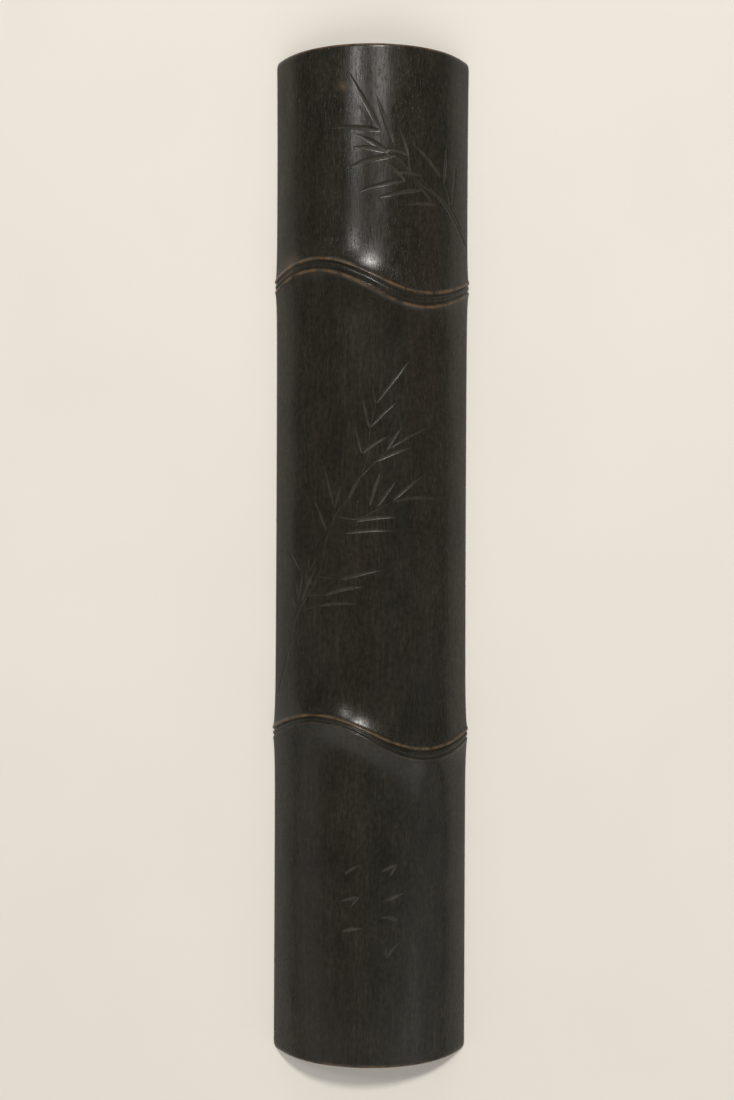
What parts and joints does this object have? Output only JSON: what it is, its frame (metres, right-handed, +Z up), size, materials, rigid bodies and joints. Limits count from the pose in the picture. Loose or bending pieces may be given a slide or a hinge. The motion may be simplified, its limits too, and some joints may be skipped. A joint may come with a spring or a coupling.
{
  "type": "calligraphy wrist rest",
  "caption": "Long arched wooden wrist rest carved as a split length of bamboo, hollow underneath, that holds the writing hand clear of wet ink.",
  "frame": {"origin": "middle of the resting plane under the two long feet", "axes": "+Z up through the crown of the arch, +Y along the length towards the end with the shorter upper length of bamboo, +X across the width"},
  "size_m": [0.056, 0.285, 0.0181],
  "materials": {
    "dark_wood": "waxed, satin, edges worn to golden brown"
  },
  "bodies": {
    "root": {"wrist_rest": "dark_wood"}
  },
  "joints": []
}
